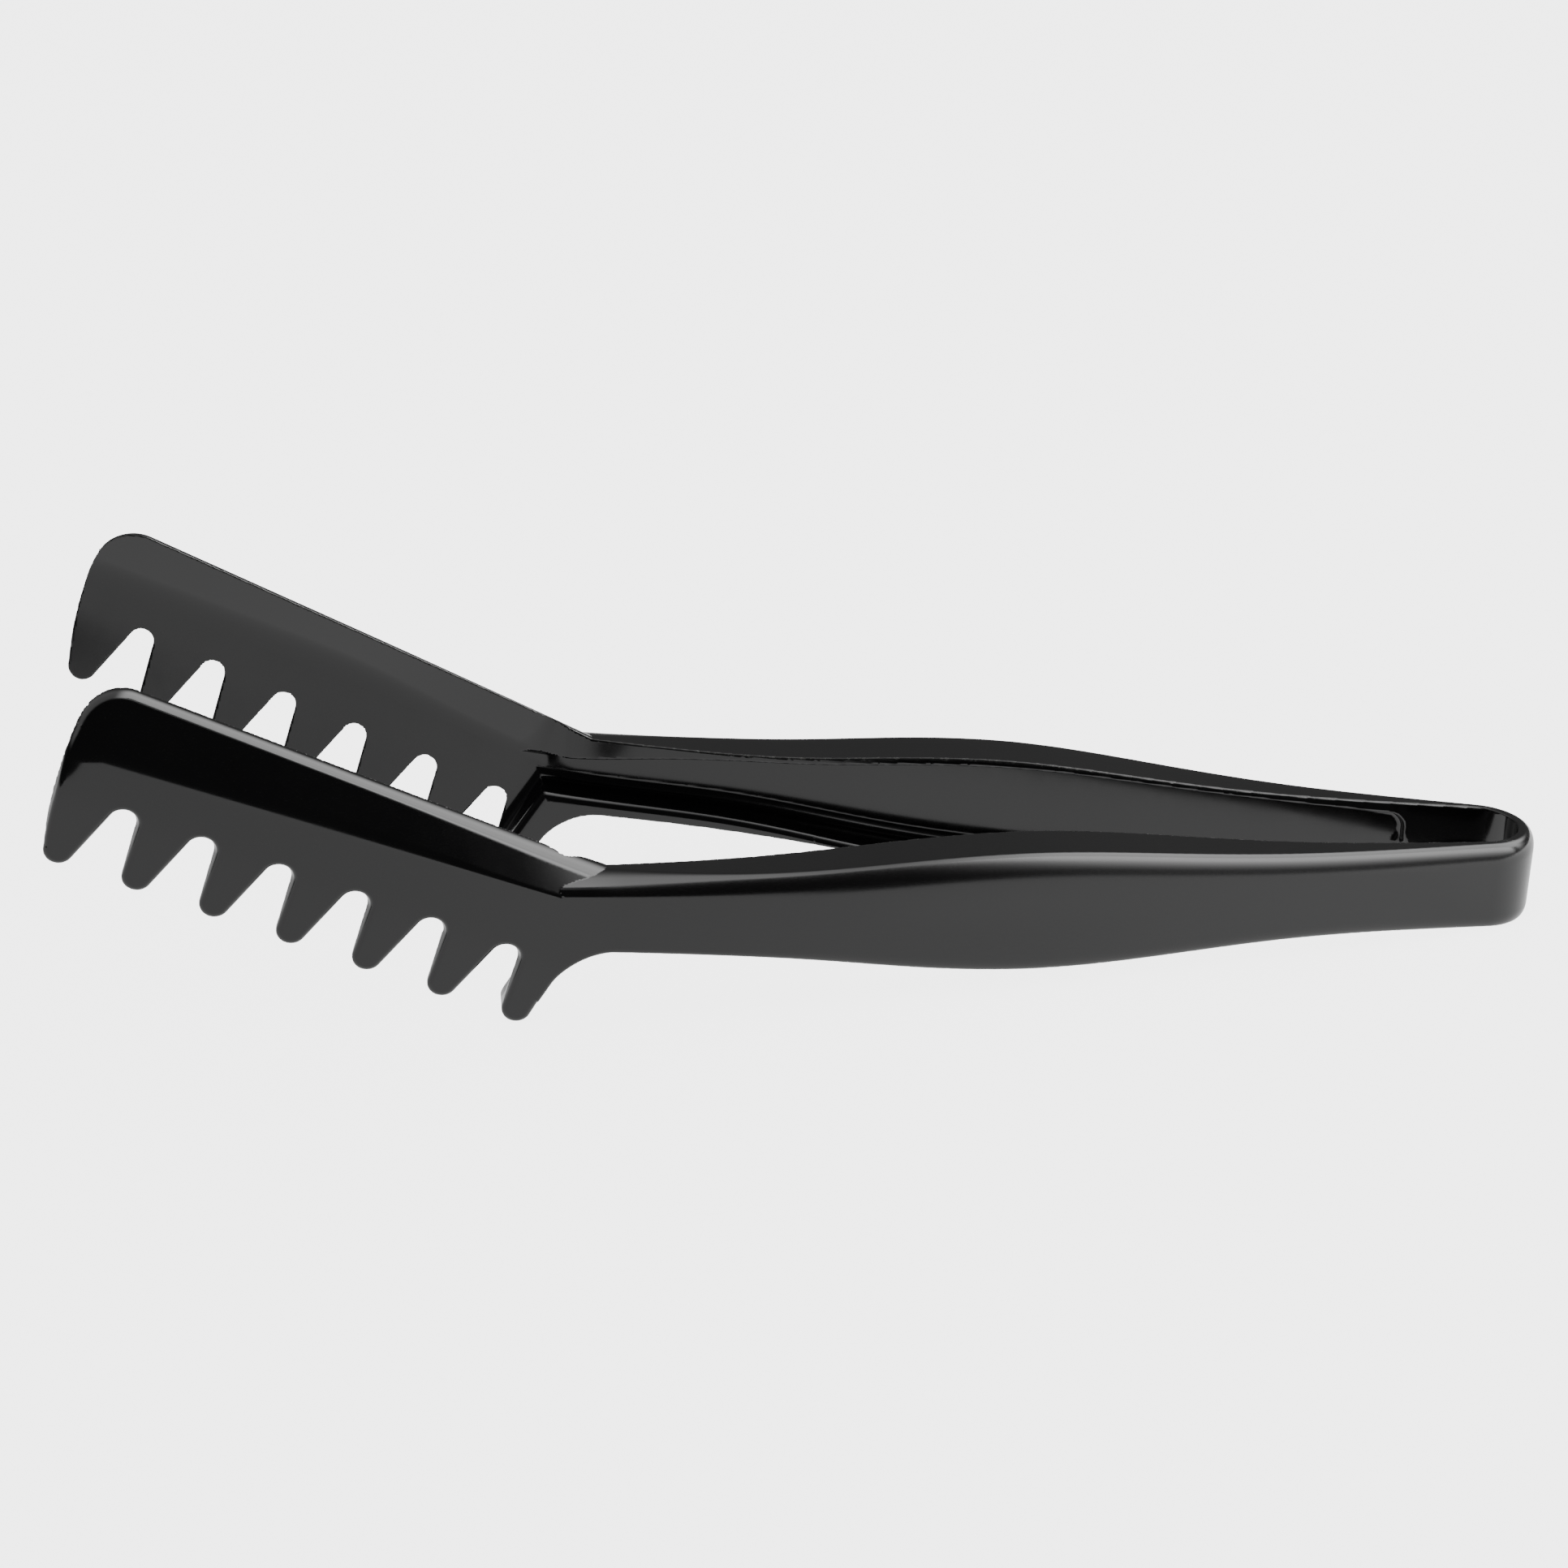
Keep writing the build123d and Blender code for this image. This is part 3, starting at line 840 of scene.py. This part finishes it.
def make_floor():
    """Plain pale floor. Reflections see it end in front of the tongs, and brighter on the right."""
    half = FLOOR_SIZE / 2
    floor, n, shader = make_sheet("floor", [(-half, -half, FLOOR_Z), (half, -half, FLOOR_Z),
                                            (half, half, FLOOR_Z), (-half, half, FLOOR_Z)])
    shader.inputs["Roughness"].default_value = 0.9
    shader.inputs["Specular IOR Level"].default_value = 0.1
    position = n.add("ShaderNodeSeparateXYZ", {0: n.add("ShaderNodeNewGeometry").outputs["Position"]})
    path = n.add("ShaderNodeLightPath").outputs
    in_gloss = path["Is Glossy Ray"]
    far = n.range(position.outputs["Y"], -FLOOR_FRONT - 0.02, -FLOOR_FRONT, 1.0, 0.0)
    tone = n.add("ShaderNodeMix", {"Factor": in_gloss}, data_type="RGBA")
    tone.inputs[6].default_value = (FLOOR_GREY, FLOOR_GREY, FLOOR_GREY, 1)
    tone.inputs[7].default_value = (FLOOR_GREY_IN_GLOSS, FLOOR_GREY_IN_GLOSS, FLOOR_GREY_IN_GLOSS, 1)
    n.tree.links.new(tone.outputs[2], shader.inputs["Base Color"])
    x = position.outputs["X"]
    right = n.math("ADD", n.range(x, -0.1, 0.12, FLOOR_IN_GLOSS, FLOOR_IN_GLOSS + FLOOR_RIGHT),
                   n.range(x, 0.13, 0.35, 0.0, FLOOR_FAR_RIGHT))
    glow_in_gloss = n.math("MULTIPLY", right, n.math("SUBTRACT", 1.0, far))
    glow = n.mix(in_gloss, n.mix(path["Is Camera Ray"], FLOOR_GLOW, FLOOR_TO_CAMERA), glow_in_gloss)
    n.tree.links.new(glow, shader.inputs["Emission Strength"])
    shader.inputs["Emission Color"].default_value = (1, 1, 1, 1)


def make_world():
    """Pale for soft light. Reflections see it dark in front and dim behind, with soft lights on the right."""
    world = bpy.data.worlds.new("world")
    world.use_nodes = True
    n = Nodes(world.node_tree)
    background = world.node_tree.nodes["Background"]
    direction = n.add("ShaderNodeSeparateXYZ", {0: n.add("ShaderNodeTexCoord").outputs["Generated"]})
    x, y, z = (direction.outputs[i] for i in range(3))
    dim = n.range(y, -0.1, 0.5, WORLD_FRONT, WORLD_BEHIND)
    beside = n.math("MULTIPLY", n.soft_range(y, -0.2, 0.0, 0.0, 1.0), n.soft_range(y, -0.1, 0.4, 1.0, 0.0))
    side_light = n.math("MULTIPLY", n.math("MULTIPLY", n.soft_range(x, 0.3, 0.6, 0.0, PANEL_LIGHT),
                                           n.soft_range(z, -0.05, 0.55, 0.0, 1.0)), beside)
    over_top = n.math("MULTIPLY", n.soft_range(y, -0.55, -0.2, 0.0, 1.0),
                      n.soft_range(y, 0.3, 0.85, 1.0, 0.0))
    top_light = n.math("MULTIPLY", n.math("MULTIPLY", n.soft_range(x, 0.0, 0.45, TOP_LIGHT_LEFT, TOP_LIGHT),
                                          n.soft_range(z, 0.3, 0.6, 0.0, 1.0)), over_top)
    reflected = n.math("ADD", dim, n.math("MAXIMUM", side_light, top_light))
    gloss = n.add("ShaderNodeLightPath").outputs["Is Glossy Ray"]
    strength = n.mix(gloss, WORLD_SOFT, reflected)
    world.node_tree.links.new(strength, background.inputs["Strength"])
    background.inputs["Color"].default_value = (1, 1, 1, 1)
    bpy.context.scene.world = world


def make_panel():
    """Soft panel in front of the handles, brighter to the right and upwards, seen only in reflections."""
    (x1, x2), (z1, z2) = PANEL_X, PANEL_Z
    panel, n, shader = make_sheet("panel", [(x1, PANEL_Y, z1), (x2, PANEL_Y, z1), (x2, PANEL_Y, z2),
                                            (x1, PANEL_Y, z2)])
    panel.visible_camera = panel.visible_diffuse = panel.visible_shadow = False
    shader.inputs["Base Color"].default_value = (0, 0, 0, 1)
    shader.inputs["Emission Color"].default_value = (1, 1, 1, 1)
    position = n.add("ShaderNodeSeparateXYZ", {0: n.add("ShaderNodeNewGeometry").outputs["Position"]})
    glow = n.math("MULTIPLY", n.soft_range(position.outputs["X"], *PANEL_FULL_X, 0.0, PANEL_LIGHT),
                  n.range(position.outputs["Z"], *PANEL_FULL_Z, PANEL_LOW, 1.0))
    n.tree.links.new(glow, shader.inputs["Emission Strength"])


def make_key():
    """A soft light from above that does not show in the gloss of the plastic."""
    data = bpy.data.lights.new("key", "AREA")
    data.shape = "RECTANGLE"
    data.size, data.size_y = KEY_SIZE
    data.energy = KEY_POWER * KEY_SIZE[0] * KEY_SIZE[1]
    place("key", data, KEY_AT, (0.0, 0.0, 0.0)).visible_glossy = False


make_camera()
make_floor()
make_world()
make_panel()
make_key()

plastic = black_plastic()
half_points, half_quads = half_mesh()
half = bmesh.new()
verts = [half.verts.new(p) for p in half_points]
for quad in half_quads:
    half.faces.new([verts[i] for i in quad])
half.verts.index_update()

for part, low, high in (("comb", None, COMB_CUT), ("handle", COMB_CUT, LEG_CUT), ("bow", LEG_CUT, None)):
    points, faces, flags = piece_mesh(half, low, high)
    normals = slope_at(points)
    normals[np.abs(points[:, 1]) < 1e-6, 1] = 0
    for side_name, side in (("rear", 1), ("front", -1)):
        piece = make_piece(f"{side_name}_{part}", points, faces, flags, normals, side, plastic)
        arm = f"{side_name}_arm"
        if part == "bow":
            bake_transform(piece)
            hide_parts("spring_bow", f"{side_name}_bow_leg")
        elif part == "handle":
            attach(piece, arm)
            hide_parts(f"{side_name}_handle_web", f"{side_name}_upper_flange",
                        f"{side_name}_lower_flange")
        else:
            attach(piece, arm)
            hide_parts(f"{side_name}_comb_plate",
                        *[f"{side_name}_tooth_{i}" for i in range(1, TEETH + 1)])
half.free()
